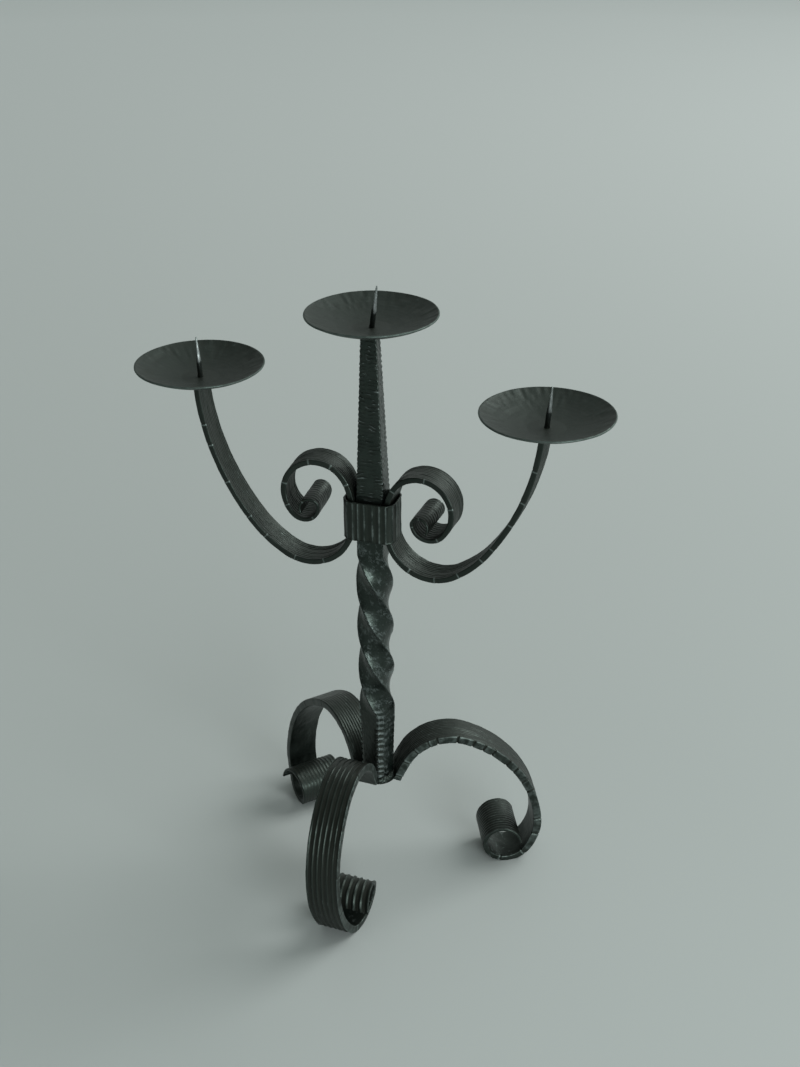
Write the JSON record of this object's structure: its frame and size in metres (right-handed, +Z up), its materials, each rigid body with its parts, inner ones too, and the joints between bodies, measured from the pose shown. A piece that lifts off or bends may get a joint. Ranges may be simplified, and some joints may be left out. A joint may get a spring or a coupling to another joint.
{
  "type": "tripod candle holder",
  "caption": "Forged tripod candle holder with a twisted square stem, scrolled side arms in a fluted collar, and dished plates with prickets.",
  "frame": {"origin": "on the floor, under the middle of the holder's bounding box; the stem stands 8.4 mm behind it", "axes": "+Z up along the stem, +X along the right arm, +Y away from the front leg"},
  "size_m": [0.3352, 0.2018, 0.4838],
  "materials": {
    "bar": "satin",
    "plate": "satin",
    "spike": "satin"
  },
  "bodies": {
    "root": {"stem": "bar", "collar": "bar", "arm_right": "bar", "arm_left": "bar", "leg_right": "bar", "leg_front": "bar", "leg_back": "bar", "root_weld": "bar", "plate_top": "plate", "plate_right": "plate", "plate_left": "plate", "pricket_top": "spike", "pricket_right": "spike", "pricket_left": "spike"}
  },
  "joints": []
}
